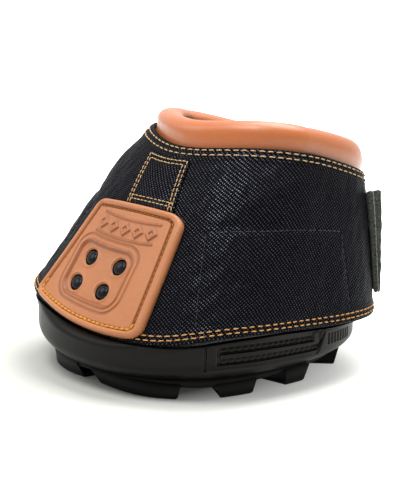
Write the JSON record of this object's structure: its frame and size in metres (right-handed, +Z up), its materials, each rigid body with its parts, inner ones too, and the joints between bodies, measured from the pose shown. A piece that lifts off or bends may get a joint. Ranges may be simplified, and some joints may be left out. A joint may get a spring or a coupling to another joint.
{
  "type": "horse hoof boot",
  "caption": "Rear-opening hoof boot: moulded rubber cup and lugged tread under a padded woven upper with a leather collar, a hinged heel flap and a wrap-round closing flap.",
  "frame": {"origin": "on the ground under the middle of the tread's centre pad", "axes": "+Z up, the toe points to -Y, +X is the boot's right side"},
  "size_m": [0.1612, 0.1682, 0.1265],
  "materials": {
    "tread_rubber": "matte black moulded rubber",
    "shell_rubber": "satin charcoal moulded rubber",
    "nylon": "black basket-weave nylon",
    "lining": "dark brushed padding",
    "stiffener": "matte sheet",
    "collar_leather": "smooth tan leather with a soft gloss",
    "foam": "soft foam",
    "patch_leather": "matte tan moulded leather",
    "vent_insert": "glossy black",
    "webbing": "black woven webbing",
    "loop_fabric": "black loop pile",
    "hook_tape": "black hook tape",
    "binding": "grey-green woven edge"
  },
  "bodies": {
    "boot": {"tread": "tread_rubber", "lower_shell": "shell_rubber", "upper_fabric": "nylon", "upper_lining": "lining", "side_stiffener_right": "stiffener", "side_stiffener_left": "stiffener", "collar_cover": "collar_leather", "collar_foam": "foam", "toe_patch": "patch_leather", "patch_backing": "vent_insert", "toe_strap": "webbing", "loop_patch": "loop_fabric", "flap_root_strip": "nylon"},
    "heel_flap": {"heel_flap_fabric": "nylon", "heel_flap_lining": "lining", "heel_loop_patch": "loop_fabric", "heel_collar_cover": "collar_leather", "heel_collar_foam": "foam"},
    "outer_flap": {"outer_flap_fabric": "nylon", "outer_flap_lining": "lining", "hook_tape": "hook_tape"},
    "grip_tab": {"grip_tab": "nylon", "grip_tab_binding": "binding"}
  },
  "joints": [
    {"name": "outer_flap_hinge", "type": "hinge", "parent": "boot", "child": "outer_flap", "pos_m": [-0.07008, 0.06427, 0.03899], "axis": [0.307, 0.1667, 0.937], "range_deg": [0, 120]},
    {"name": "heel_flap_hinge", "type": "hinge", "parent": "boot", "child": "heel_flap", "pos_m": [0.05039, 0.07796, 0.02703], "axis": [-0.2268, 0.1413, 0.9636], "range_deg": [-40, 0]},
    {"name": "grip_tab_hinge", "type": "hinge", "parent": "outer_flap", "child": "grip_tab", "pos_m": [0.05855, 0.07817, 0.0366], "axis": [-0.2484, 0.1357, 0.9591], "range_deg": [0, 55]}
  ],
  "couplings": [
    {"joint": "heel_flap_hinge", "follows": "outer_flap_hinge", "ratio": -0.3333}
  ]
}
